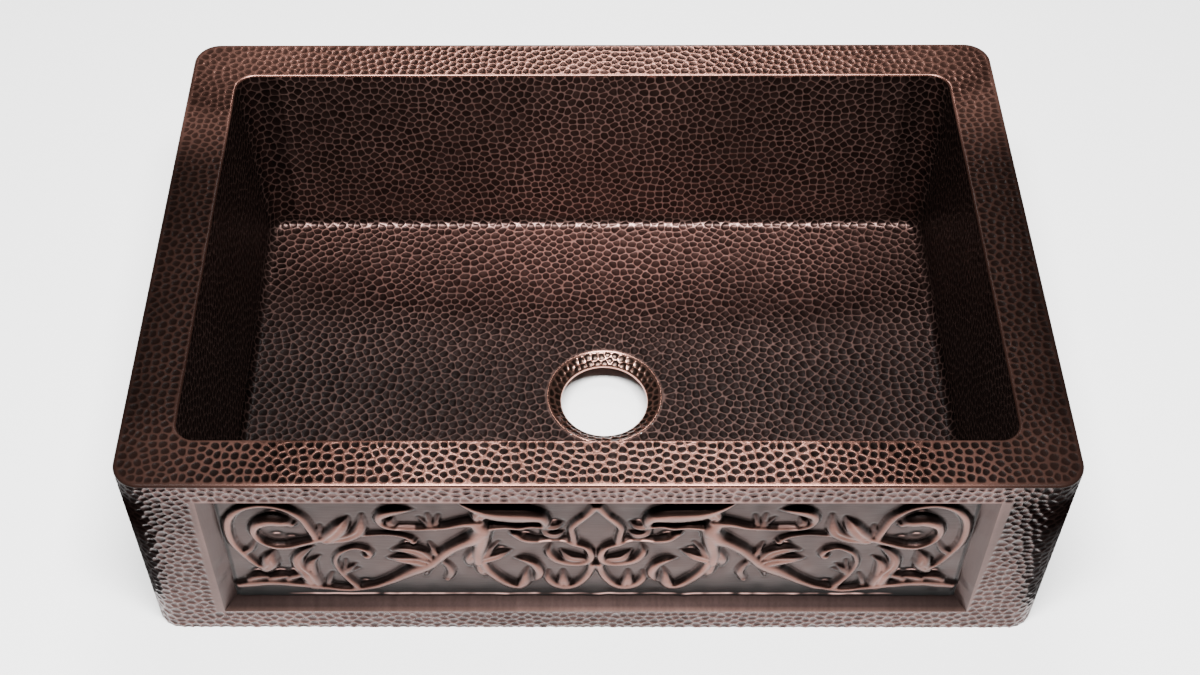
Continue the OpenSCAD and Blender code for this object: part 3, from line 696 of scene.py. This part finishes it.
LEAVES = [
    [(304, 89, 5, 4), (299, 98, 7, 5.5), (298, 108, 6, 5), (292, 121, 1, 1)],
    [(321, 118, 3.5, 4), (313, 124, 3, 3.5), (307, 138, 0.8, 1)],
    [(261, 62, 7, 5), (265, 80, 7.5, 6), (272, 95, 5.5, 5.5), (272, 109, 5, 5), (264, 121, 3.5, 3.5),
        (256, 127, 0.8, 1)],
    [(262, 80, 5, 5), (262, 94, 5, 5), (259, 104, 3, 4), (252, 111, 0.8, 1)],
    [(249, 60, 3, 3), (247, 70, 2.5, 3), (243, 82, 0.8, 1)],
    [(241, 142, 8, 5.5), (233, 153, 8, 6.5), (227, 164, 6, 5.5), (221, 176, 1, 1)],
    [(236, 141, 5, 5.5), (222, 146, 6, 6), (212, 157, 5.5, 6), (208, 180, 1, 1)],
    [(250, 145, 5, 4), (247, 162, 1, 1)],
    [(180, 161, 3, 3), (184, 168, 3.5, 4), (181, 175, 1, 1)],
    [(148, 161, 3, 4), (158, 175, 0.8, 1)],
    [(148, 161, 4, 5), (150, 181, 0.8, 1)],
    [(144, 161, 4, 5), (140, 179, 0.8, 1)],
    [(100, 189, 7, 8), (104, 182, 6, 8.5), (103, 176, 3, 4)],
    [(152, 109, 5, 6), (160, 120, 6, 6), (172, 124, 5, 5), (185, 120, 1.5, 1.5)],
    [(152, 102, 7, 7), (165, 108, 8, 7), (178, 108, 5, 5), (190, 107, 1, 1)],
    [(146, 119, 3.5, 5), (151, 134, 0.8, 1)],
    [(143, 104, 3, 3), (136, 96, 3, 3.5), (133, 84, 3.5, 4), (137, 72, 3, 3)],
    [(154, 92, 4, 4), (157, 76, 1, 1)],
    [(140, 111, 3, 3), (131, 114, 0.8, 1)],
    [(234, 82, 3, 4), (227, 90, 3, 4), (220, 97, 0.8, 1)],
    [(232, 83, 3, 4), (218, 89, 0.8, 1)],
    [(231, 86, 3, 4), (229, 104, 0.8, 1)],
    [(110, 120, 4, 4), (115, 107, 4.5, 4.5), (115, 92, 0.8, 1)],
    [(106, 101, 4, 4), (104, 88, 5, 5), (102, 75, 0.8, 1)],
    [(104, 106, 5, 5), (90, 113, 5, 5), (77, 121, 0.8, 1)],
    [(100, 116, 4, 4.5), (88, 135, 0.8, 1)],
    [(12, 107, 4, 4), (24, 111, 5, 5), (32, 122, 0.8, 1)],
    [(29, 62, 6, 5), (30, 74, 4, 4.5), (30, 87, 0.8, 1)],
    [(31, 167, 1, 1), (36, 162, 4, 4), (44, 162, 4, 4), (48, 168, 1, 1)],
    [(29, 152, 1, 1), (36, 148, 4, 4), (44, 150, 4, 4), (48, 158, 2, 2)],
]
# Short lobes along the top of the lowest stem
LOBES = [
    [(320, 72, 5, 4), (311, 77, 6, 4.5), (303, 76, 3, 3)],
    [(301, 73, 5, 4), (292, 77, 6, 4.5), (284, 77, 3, 3)],
    [(284, 73, 5, 4), (276, 79, 6, 4.5), (270, 80, 3, 3)],
]
# Berries: (distance from the middle, height, radius, rise)
BERRIES = [(165, 137, 4.5, 4.5), (208, 113, 5, 5), (331, 62, 6, 4.5), (272, 165, 5, 4), (137, 72, 3.5, 3.5)]
# Gouged hollows, each darkened, with a painted glint: (distance from the middle, height, half length of the
# painted glint in each)
HOLLOWS = [
    (287, 147, 1.5), (274, 143, 1.5), (286, 184, 1), (311, 85, 3), (291, 85, 3), (277, 86, 2.5), (214, 67, 1),
    (170, 162, 7), (63, 149, 2), (46, 141, 4), (29, 141, 2), (170, 133, 2), (86, 124, 1), (58, 174, 1.5),
    (38, 168, 1),
]
# How far a stem's crest lies off its middle, as a share of its half width; positive is to the left of its
# run. All crests also lie a little high, as the upper flanks are the steeper ones
LEAN = {"volute_ring": -0.3, "volute_tongue": 0.2, "low_crescent": -0.3, "inner_crescent": -0.3}
RISING_LEAN = 0.3
MOST_LEAN = 0.6
LEAF_WIDER = 1.3


def smooth_line(points, spacing=0.8):
    """Curve through the points, with places about this far apart."""
    p = np.array(points, float)
    out = []
    for i in range(len(p) - 1):
        a, b, c, d = p[max(i - 1, 0)], p[i], p[i + 1], p[min(i + 2, len(p) - 1)]
        count = max(2, int(np.hypot(*(c - b)[:2]) / spacing))
        t = (np.arange(count) / count)[:, None]
        bent = (2 * a - 5 * b + 4 * c - d) * t ** 2 + (3 * b - 3 * c + d - a) * t ** 3
        out.append((2 * b + (c - a) * t + bent) / 2)
    out.append(p[-1:])
    return np.vstack(out)


def soften(h, times):
    for _ in range(times):
        h = np.pad(h, 1, mode="edge")
        h = (h[:-2] + 2 * h[1:-1] + h[2:]) / 4
        h = (h[:, :-2] + 2 * h[:, 1:-1] + h[:, 2:]) / 4
    return h


def nearest_on(line, x, z):
    """For each point, how far it lies outside the stem (less than 0 within it), and the place on its line."""
    best, pick = np.full(len(x), np.inf), np.zeros(len(x), int)
    at_once = 64
    for k in range(0, len(line), at_once):
        part = line[k:k + at_once]
        d = np.hypot(x[:, None] - part[:, 0], z[:, None] - part[:, 1]) - part[:, 2]
        m = d.argmin(1)
        v = d[np.arange(len(x)), m]
        better = v < best
        best[better], pick[better] = v[better], m[better] + k
    return best, pick


def relief(xs, zs):
    """Height above the panel, how near a crest a point is, and how deep in a groove, for one half."""
    gx, gz = np.meshgrid(xs, zs)
    high, crest, groove = np.zeros(gx.shape), np.zeros(gx.shape), np.zeros(gx.shape)

    def lay(points, power, lean=0.0, vein=False):
        line = smooth_line(points)
        line[:, 2] = np.maximum(line[:, 2], 0.5)
        w, rise = line[:, 2], np.maximum(line[:, 3], 0.4)
        along = unit(np.gradient(line[:, :2], axis=0))
        reach = w.max() + 4
        i0, i1 = np.searchsorted(zs, [line[:, 1].min() - reach, line[:, 1].max() + reach])
        j0, j1 = np.searchsorted(xs, [line[:, 0].min() - reach, line[:, 0].max() + reach])
        area = (slice(i0, i1), slice(j0, j1))
        shape = gx[area].shape
        x, z = gx[area].ravel(), gz[area].ravel()
        out, pick = nearest_on(line, x, z)
        w, rise, along = w[pick], rise[pick], along[pick]
        dx, dz = x - line[pick, 0], z - line[pick, 1]
        # q runs from 0 on the crest to 1 at the foot of either flank
        q = np.sign(along[:, 0] * dz - along[:, 1] * dx) * np.hypot(dx, dz) / w
        lean = np.clip(lean + RISING_LEAN * along[:, 0], -MOST_LEAN, MOST_LEAN)
        q = np.where(q > lean, (q - lean) / (1 - lean), (lean - q) / (1 + lean))
        body = rise * ease(1 - q * q) ** power
        if vein:
            body -= 0.3 * rise * np.exp(-(q / 0.2) ** 2) * (w > 3)
        body = np.where(out < 0, body, 0).reshape(shape)
        top = body > high[area]
        crest[area] = np.where(top, ease(1.35 - 1.3 * q.reshape(shape)), crest[area])
        high[area] = np.maximum(high[area], body)
        near = np.exp(-(np.clip(out, 0, None).reshape(shape) / 1.5) ** 2)
        groove[area] = np.maximum(groove[area], near)

    for name, points in STEMS.items():
        lay(points, 0.5, LEAN.get(name, 0.0))
    for points in LEAVES:
        lay([(u, z, min(half * LEAF_WIDER, half + 2), rise) for u, z, half, rise in points], 0.55, vein=True)
    for points in LOBES:
        lay(points, 0.7)
    for u, z, radius, rise in BERRIES:
        lay([(u - 0.4, z, radius, rise), (u + 0.4, z, radius, rise)], 0.6)
    return high, crest, groove


def mirrored(half):
    """Both halves of the panel, from the right one."""
    return np.concatenate([half[:, :0:-1], half], 1)


def carved_half(xs, zs):
    """Height, rise of the scrollwork, crests, grooves, painted glint spots and scored lines of the right
    half.
    """
    high, crest, groove = relief(xs, zs)
    high = soften(high, 1)
    cut = groove * ease(1 - high / 0.6)
    h = high - 0.7 * soften(cut, 1)
    gx, gz = np.meshgrid(xs, zs)
    # cove along the lower edge and the scored line at the end
    h += 1.6 * ease((PANEL_Z0 + 7 - gz) / 7) ** 2 * (high < 0.3)
    score = np.exp(-((PANEL_X - 1.8 - gx) / 1.6) ** 2)
    h -= 0.8 * score
    glint_spots = np.zeros(gx.shape)
    for u, z, half in HOLLOWS:
        basin = np.exp(-((gx - u) / (half + 4.5)) ** 2 - ((gz - z + 0.5) / 4.4) ** 2)
        past_end = np.clip(np.abs(gx - u) - half, 0, None)
        glint_spots = np.maximum(glint_spots, np.exp(-(past_end / 1.4) ** 2 - ((gz - z) / 1.2) ** 2))
        h -= 1.2 * basin
        cut = np.maximum(cut, 0.95 * basin)
    return h, high, crest, cut, glint_spots, score


def panel_sheet():
    """Points, normals, height, how far each point is rubbed, and the shade, which holds patina with painted
    shade and painted glints.
    """
    xs = spread((0, PANEL_X, PANEL_GRID))
    zs = spread((PANEL_Z0, PANEL_Z0 + 6, FOOT_ROWS), (PANEL_Z0 + 6, PANEL_Z1, PANEL_GRID))
    h, high, crest, cut, glint_spots, score = [mirrored(part) for part in carved_half(xs, zs)]
    x = np.concatenate([-xs[:0:-1], xs])
    gz = zs[:, None]
    p = gather(x, PANEL_Y, gz)
    n = np.zeros_like(p)
    n[..., 1] = -1
    # slow unevenness of the sheet
    rng = np.random.default_rng(3)
    uneven = rng.normal(0, 1, (12, 40))
    uneven = uneven[np.ix_(np.linspace(0, 11, len(zs)).astype(int), np.linspace(0, 39, len(xs)).astype(int))]
    uneven = soften(np.concatenate([uneven[:, :0:-1] * 0.6, uneven], 1), 24)
    h += 0.25 * uneven
    rub = (ease((high - 1.2) / 3.0) * crest) ** 1.5
    # painted shade on slopes that face up and just above them, and along the panel's foot; grooves and
    # hollows are darker
    rise = ease(-np.gradient(soften(h, 1), zs, axis=0) * 1.5 - 0.12)
    rise *= 1 - 0.75 * ease(crest * 1.2)
    dark = rise.copy()
    for k, share in ((1, 0.7), (2, 0.3)):
        dark[k:] = np.maximum(dark[k:], share * rise[:-k])
    shade = (1 - 0.935 * np.maximum(dark, cut)) * (1 - 0.8 * score)
    foot = profile(gz, (PANEL_Z0, 0.06), (PANEL_Z0 + 3, 0.07), (PANEL_Z0 + 9, 0.16), (PANEL_Z0 + 16, 0.27),
                   (PANEL_Z0 + 26, 0.58), (PANEL_Z0 + 42, 1.0))
    field = ease(1 - high / 1.5)
    # painted shade also darkens the top of the field, and the field is darker towards its ends
    shade *= 1 - field * (1 - foot * profile(gz, (150, 1.0), (190, 0.65)))
    shade *= (1 + 0.18 * uneven) * profile(np.abs(x), (120, 1.0), (260, 0.86))[None]
    # painted highlight along the lip of the foot, broken here and there
    broken = np.interp(x, np.linspace(-PANEL_X, PANEL_X, 90), rng.normal(0, 1, 90))
    broken = np.clip(0.55 + 0.6 * broken, 0.05, 1) * ease((290 - np.abs(x + 8)) / 40)
    line = np.exp(-((gz - PANEL_Z0 - 2.2) / 0.75) ** 2) * broken[None]
    painted_glints = np.maximum(glint_spots, 0.9 * line)
    return p, n, h, rub * (1 - painted_glints) + 0.3 * painted_glints, shade * (1 - painted_glints) + 8.0 * painted_glints


def bevel_sheet(side):
    """Strip of the recess's slope: 0 bottom, 1 right, 2 top, 3 left. Rows run in from the window's edge."""
    level = side % 2 == 0
    length = 2 * WINDOW_X if level else WINDOW_Z1 - WINDOW_Z0
    t = np.linspace(-0.5, 0.5, steps(length, BEVEL_GRID) + 1)
    f = np.linspace(0, 1, steps(hypot(BEVEL, RECESS), BEVEL_ROWS) + 1)[:, None]
    wave = np.interp(t, np.linspace(-0.5, 0.5, 14), np.random.default_rng(20 + side).normal(0, 0.16, 14))
    belly = wave * np.sin(pi * f)
    run = t * (length - 2 * BEVEL * f)
    y = FRONT_Y + RECESS * f - belly
    if side == 0:
        x, z = run, WINDOW_Z0 + BEVEL * f + belly
    elif side == 2:
        x, z = run, WINDOW_Z1 - BEVEL * f - belly
    else:
        s = 1 if side == 1 else -1
        x, z = s * (WINDOW_X - BEVEL * f) - s * belly, (WINDOW_Z0 + WINDOW_Z1) / 2 + run
    p = gather(x, y, z)
    return p, facing(grid_normal(p), (1, len(t) // 2), (0, -1, 0)), f


# Materials


def shader(name):
    mat = bpy.data.materials.new(name)
    mat.use_nodes = True
    return mat, mat.node_tree, mat.node_tree.nodes["Principled BSDF"]


def add(tree, kind, **values):
    """New node. in_ before a name sets that input, and any other name sets a property."""
    node = tree.nodes.new(kind)
    for key, value in values.items():
        if key.startswith("in_"):
            name = key[3:]
            node.inputs[int(name) if name.isdigit() else name].default_value = value
        else:
            setattr(node, key, value)
    return node


def feed(tree, value, socket):
    """Puts a number or another node's output into a socket."""
    if isinstance(value, float):
        socket.default_value = value
    else:
        tree.links.new(value, socket)


def named(tree, attribute, output="Fac"):
    return add(tree, "ShaderNodeAttribute", attribute_name=attribute).outputs[output]


def ramp(tree, source, start, first, end, last):
    """Colour that runs from first at start to last at end."""
    node = add(tree, "ShaderNodeValToRGB")
    tree.links.new(source, node.inputs[0])
    low, high = node.color_ramp.elements
    low.position, low.color = start, (*first, 1)
    high.position, high.color = end, (*last, 1)
    return node.outputs[0]


def grain(tree, scale, stretch=(1, 1, 1)):
    where = add(tree, "ShaderNodeTexCoord")
    fit = add(tree, "ShaderNodeMapping", in_Scale=stretch)
    noise = add(tree, "ShaderNodeTexNoise", in_Scale=scale, in_Detail=GRAIN_DETAIL)
    tree.links.new(where.outputs["Object"], fit.inputs[0])
    tree.links.new(fit.outputs[0], noise.inputs["Vector"])
    return noise.outputs[0]


def blend(tree, mode, share, a, b):
    node = add(tree, "ShaderNodeMix", data_type="RGBA", blend_type=mode)
    for value, socket in ((share, 0), (a, 6), (b, 7)):
        feed(tree, value, node.inputs[socket])
    return node.outputs[2]


def span(tree, source, a, b, c, d):
    """Source from a to b turned into c to d, and held there beyond."""
    node = add(tree, "ShaderNodeMapRange", in_1=a, in_2=b, in_3=c, in_4=d)
    tree.links.new(source, node.inputs[0])
    return node.outputs[0]


def calc(tree, kind, a, b):
    node = add(tree, "ShaderNodeMath", operation=kind)
    for value, socket in ((a, 0), (b, 1)):
        feed(tree, value, node.inputs[socket])
    return node.outputs[0]


def of_three(tree, kind, a, b, c):
    return calc(tree, kind, calc(tree, kind, a, b), c)


def from_edge(tree):
    """0 on the line halfway between two hammer blows, 1 in the middle of a mark."""
    place = add(tree, "ShaderNodeTexCoord").outputs["Object"]
    far = []
    for k in range(3):
        node = add(tree, "ShaderNodeVectorMath", operation="DISTANCE")
        tree.links.new(place, node.inputs[0])
        tree.links.new(named(tree, f"blow_{k}", "Vector"), node.inputs[1])
        far.append(node.outputs["Value"])
    first = of_three(tree, "MINIMUM", *far)
    last = of_three(tree, "MAXIMUM", *far)
    middle = of_three(tree, "SUBTRACT", of_three(tree, "ADD", *far), first, last)
    # where three marks meet the second and third distance count together, which rounds the marks' corners
    both = [calc(tree, "POWER", value, -CORNER_SHARP) for value in (middle, last)]
    other = calc(tree, "POWER", calc(tree, "ADD", *both), -1 / CORNER_SHARP)
    near = calc(tree, "DIVIDE", calc(tree, "MULTIPLY", first, 2.0), calc(tree, "ADD", first, other))
    return calc(tree, "SUBTRACT", 1.0, near)


def scaled(colour, factor):
    return tuple(c * factor for c in colour)


def copper(name, marks, land, rough, metal=0.92, stretch=(1, 1, 1), bump=0.06, edges=None, dent=0.0,
           gloss=0.05):
    """Patinated copper. marks is the colour in the hammer marks and land the rubbed metal between them; rough
    is the roughness of both; edges is how far from the middle line between two marks the metal ends, and
    over what distance; dent is the depth of the marks' rounded edge in millimetres."""
    mat, tree, bsdf = shader(name)
    ridge = worked = named(tree, "ridge")
    if edges:
        apart = from_edge(tree)
        line = span(tree, apart, edges[0], edges[0] + edges[1], 1.0, 0.0)
        in_mark = calc(tree, "MULTIPLY", calc(tree, "SUBTRACT", 1.0, line), worked)
        ridge = calc(tree, "SUBTRACT", 1.0, in_mark)
    fine = grain(tree, FINE_GRAIN, stretch)
    dark = ramp(tree, named(tree, "tone"), 0.0, scaled(marks, 0.7), 1.0, scaled(marks, 1.35))
    lit = ramp(tree, grain(tree, BROAD_GRAIN), 0.32, scaled(land, 0.72), 0.68, scaled(land, 1.15))
    colour = blend(tree, "MIX", span(tree, ridge, 0.1, 0.95, 0.0, 1.0), dark, lit)
    speckle = ramp(tree, fine, 0.3, (0.72,) * 3, 0.7, (1,) * 3)
    colour = blend(tree, "MULTIPLY", 0.5, colour, speckle)
    shade = named(tree, "shade")
    tree.links.new(blend(tree, "MULTIPLY", 1.0, colour, shade), bsdf.inputs["Base Color"])
    # where the shade is low, from painted shade or patina, the surface is made less metallic
    tree.links.new(span(tree, shade, 0.06, 0.34, 0.0, metal), bsdf.inputs["Metallic"])
    tree.links.new(span(tree, ridge, 0.0, 1.0, *rough), bsdf.inputs["Roughness"])
    bsdf.inputs["Specular IOR Level"].default_value = gloss
    node = add(tree, "ShaderNodeBump", in_Strength=bump, in_Distance=GRAIN_DEPTH * MM)
    tree.links.new(fine, node.inputs["Height"])
    if edges:
        flank = calc(tree, "POWER", span(tree, apart, edges[0] * 0.6, edges[0] * 0.6 + 0.7, 1.0, 0.0), 2.0)
        deep = add(tree, "ShaderNodeBump", in_Strength=1.0, in_Distance=dent * MM)
        tree.links.new(calc(tree, "MULTIPLY", flank, worked), deep.inputs["Height"])
        tree.links.new(deep.outputs[0], node.inputs["Normal"])
    tree.links.new(node.outputs[0], bsdf.inputs["Normal"])
    return mat


COPPERS = {
    "rim_copper": dict(
        marks=(0.014, 0.009, 0.008), land=(0.33, 0.158, 0.122), rough=(0.3, 0.26), metal=0.88,
        edges=(0.06, 0.22), dent=0.15),
    "bowl_copper": dict(
        marks=(0.034, 0.0195, 0.017), land=(0.245, 0.142, 0.122), rough=(0.32, 0.34), metal=0.85,
        edges=(0.01, 0.15), dent=0.3),
    "apron_copper": dict(
        marks=(0.045, 0.026, 0.0235), land=(0.103, 0.06, 0.053), rough=(0.26, 0.28),
        edges=(0.05, 0.25), dent=0.3, gloss=0.0),
    "drain_copper": dict(
        marks=(0.04, 0.025, 0.02), land=(0.25, 0.13, 0.1), rough=(0.25, 0.2), edges=(0.1, 0.2), dent=0.2),
    "bevel_copper": dict(
        marks=(0.052, 0.033, 0.03), land=(0.13, 0.075, 0.062), rough=(0.32, 0.34),
        stretch=(1, 1, 0.15), bump=0.12),
    "scroll_copper": dict(
        marks=(0.041, 0.0255, 0.023), land=(0.147, 0.0725, 0.0575), rough=(0.3, 0.33),
        stretch=(0.12, 1, 1), bump=0.15),
}
coppers = {name: copper(name, **look) for name, look in COPPERS.items()}


def nearest_lines(values, places):
    """Numbers of the grid lines nearest to the given places."""
    return [int(np.argmin(np.abs(values - place))) for place in places]


for name, ((p, n, w, keep), slot, depth, land, painted_shading) in PIECES.items():
    front, worked, tone, around = hammer(p, n, w, depth, land)
    if slot == "rim_copper":
        worked = worked * rim_contrast(p)
    rows, cols = [], []
    if name == "apron_frame":
        rows = nearest_lines(p[:, 0, 2], (WINDOW_Z0, WINDOW_Z1))
        cols = nearest_lines(p[0, :, 0], (-WINDOW_X, WINDOW_X))
    # the shade attribute carries each piece's painted light and shade
    shell(name, slot, front, p, n, worked, tone, painted_shading(p, n, w, front), keep, rows, cols, around)

p, n, h, rub, shade = panel_sheet()
shell("repousse_panel", "scroll_copper", p + n * h[..., None], p, n, rub, np.full(rub.shape, 0.5), shade)

for side, name in enumerate(("bottom", "right", "top", "left")):
    p, n, f = bevel_sheet(side)
    flat = np.ones(p.shape[:2])
    ridge, shade = 0.2 * ease(1 - f / 0.35) * flat, 0.78 * flat
    if side == 0:
        ridge = 0.9 * ease(1 - f / 0.35) * flat
        x = p[..., 0]
        streak = np.random.default_rng(31).normal(1, 0.07, 320)
        streak = np.interp(x, np.linspace(-WINDOW_X, WINDOW_X, 320), streak)
        # painted sheen: the bottom slope is drawn far brighter than the others, most in the middle, and
        # painted shade darkens it towards the panel
        shade = profile(np.abs(x), (60, 3.6), (260, 2.2), (340, 1.4)) * streak
        shade = shade * profile(f, (0, 1.1), (0.5, 1.0), (1, 0.45))
    shell(f"recess_bevel_{name}", "bevel_copper", p, p, n, ridge, 0.5 * flat, shade)


def flange(name, low, high):
    """Closed block of sheet between two corners."""
    xs, ys, zs = zip(low, high)
    verts = [(x, y, z) for x in xs for y in ys for z in zs]
    faces = [(0, 1, 3, 2), (4, 6, 7, 5), (0, 4, 5, 1), (2, 3, 7, 6), (0, 2, 6, 4), (1, 5, 7, 3)]
    attrs = {"ridge": np.full(8, 0.3), "tone": np.full(8, 0.5), "shade": np.full(8, 0.7)}
    new_piece(name, "apron_copper", verts, faces, attrs, False)


run = SINK_W / 2 - CORNER_R
outer, inner = SINK_W / 2 - SHEET, SINK_W / 2 - FLANGE
rear = SINK_D / 2 - CORNER_R
flange("front_flange", (-run, FRONT_Y + SHEET, 0), (run, FRONT_Y + FLANGE, SHEET))
flange("left_flange", (-outer, FRONT_Y + WRAP, 0), (-inner, rear, SHEET))
flange("right_flange", (inner, FRONT_Y + WRAP, 0), (outer, rear, SHEET))

# Studio floor, lights and camera. Floor and lights are in metres
FLOOR_HALF = 3
FLOOR_FRONT = -0.75
FLOOR_BACK = 4

floor_mat, _, bsdf = shader("studio_floor")
bsdf.inputs["Base Color"].default_value = (0.92, 0.92, 0.92, 1)
bsdf.inputs["Roughness"].default_value = 0.9
mesh = bpy.data.meshes.new("studio_floor")
plan = ((-1, FLOOR_FRONT), (1, FLOOR_FRONT), (1, FLOOR_BACK), (-1, FLOOR_BACK))
mesh.from_pydata([(side * FLOOR_HALF, y, 0) for side, y in plan], [], [(0, 1, 2, 3)])
mesh.materials.append(floor_mat)
floor = in_scene("studio_floor", mesh)


def softbox(name, place, target, width, height, power):
    """Soft rectangular lamp at a place, turned to its target."""
    lamp = bpy.data.lights.new(name, "AREA")
    lamp.shape = "RECTANGLE"
    lamp.size, lamp.size_y = width, height
    lamp.energy = power
    obj = in_scene(name, lamp)
    obj.location = place
    obj.rotation_euler = (Vector(target) - Vector(place)).to_track_quat("-Z", "Y").to_euler()


softbox("front_top", (0, -0.9, 3.0), (0, -0.4, 0), 1.8, 0.5, 420)
softbox("overhead", (0, 0.55, 3.0), (0, 0.1, 0), 1.5, 0.6, 60)
softbox("upper_back", (0.1, 2.1, 2.5), (0, 0, 0.2), 0.55, 0.45, 30)

world = bpy.data.worlds.new("studio")
bpy.context.scene.world = world
world.use_nodes = True
background = world.node_tree.nodes["Background"]
background.inputs["Color"].default_value = (1, 1, 1, 1)
background.inputs["Strength"].default_value = 0.02

# Camera as in the photograph: focal length and optical axis in pixels of its frame, place in millimetres
PHOTO_W = 1200
PHOTO_H = 675
FOCAL = 1767.9
AXIS_X = 556.6
AXIS_Y = 236.9
SENSOR = 36.0
CAMERA = (-24.6, -1121.6, 1510.1)
pitch, yaw, roll = radians(48.388), radians(-0.589), radians(-0.483)

cam = bpy.data.cameras.new("camera")
cam.sensor_width, cam.lens = SENSOR, FOCAL / PHOTO_W * SENSOR
cam.shift_x, cam.shift_y = (PHOTO_W / 2 - AXIS_X) / PHOTO_W, (AXIS_Y - PHOTO_H / 2) / PHOTO_W
cam.clip_end = 60
ahead = Vector((sin(yaw) * cos(pitch), cos(yaw) * cos(pitch), -sin(pitch)))
right = Vector((cos(yaw), -sin(yaw), 0))
up = right.cross(ahead)
right, up = right * cos(roll) + up * sin(roll), up * cos(roll) - right * sin(roll)
view = in_scene("camera", cam)
turn = Matrix((right, up, -ahead)).transposed()
view.matrix_world = Matrix.Translation(Vector(CAMERA) * MM) @ turn.to_4x4()
bpy.context.scene.camera = view
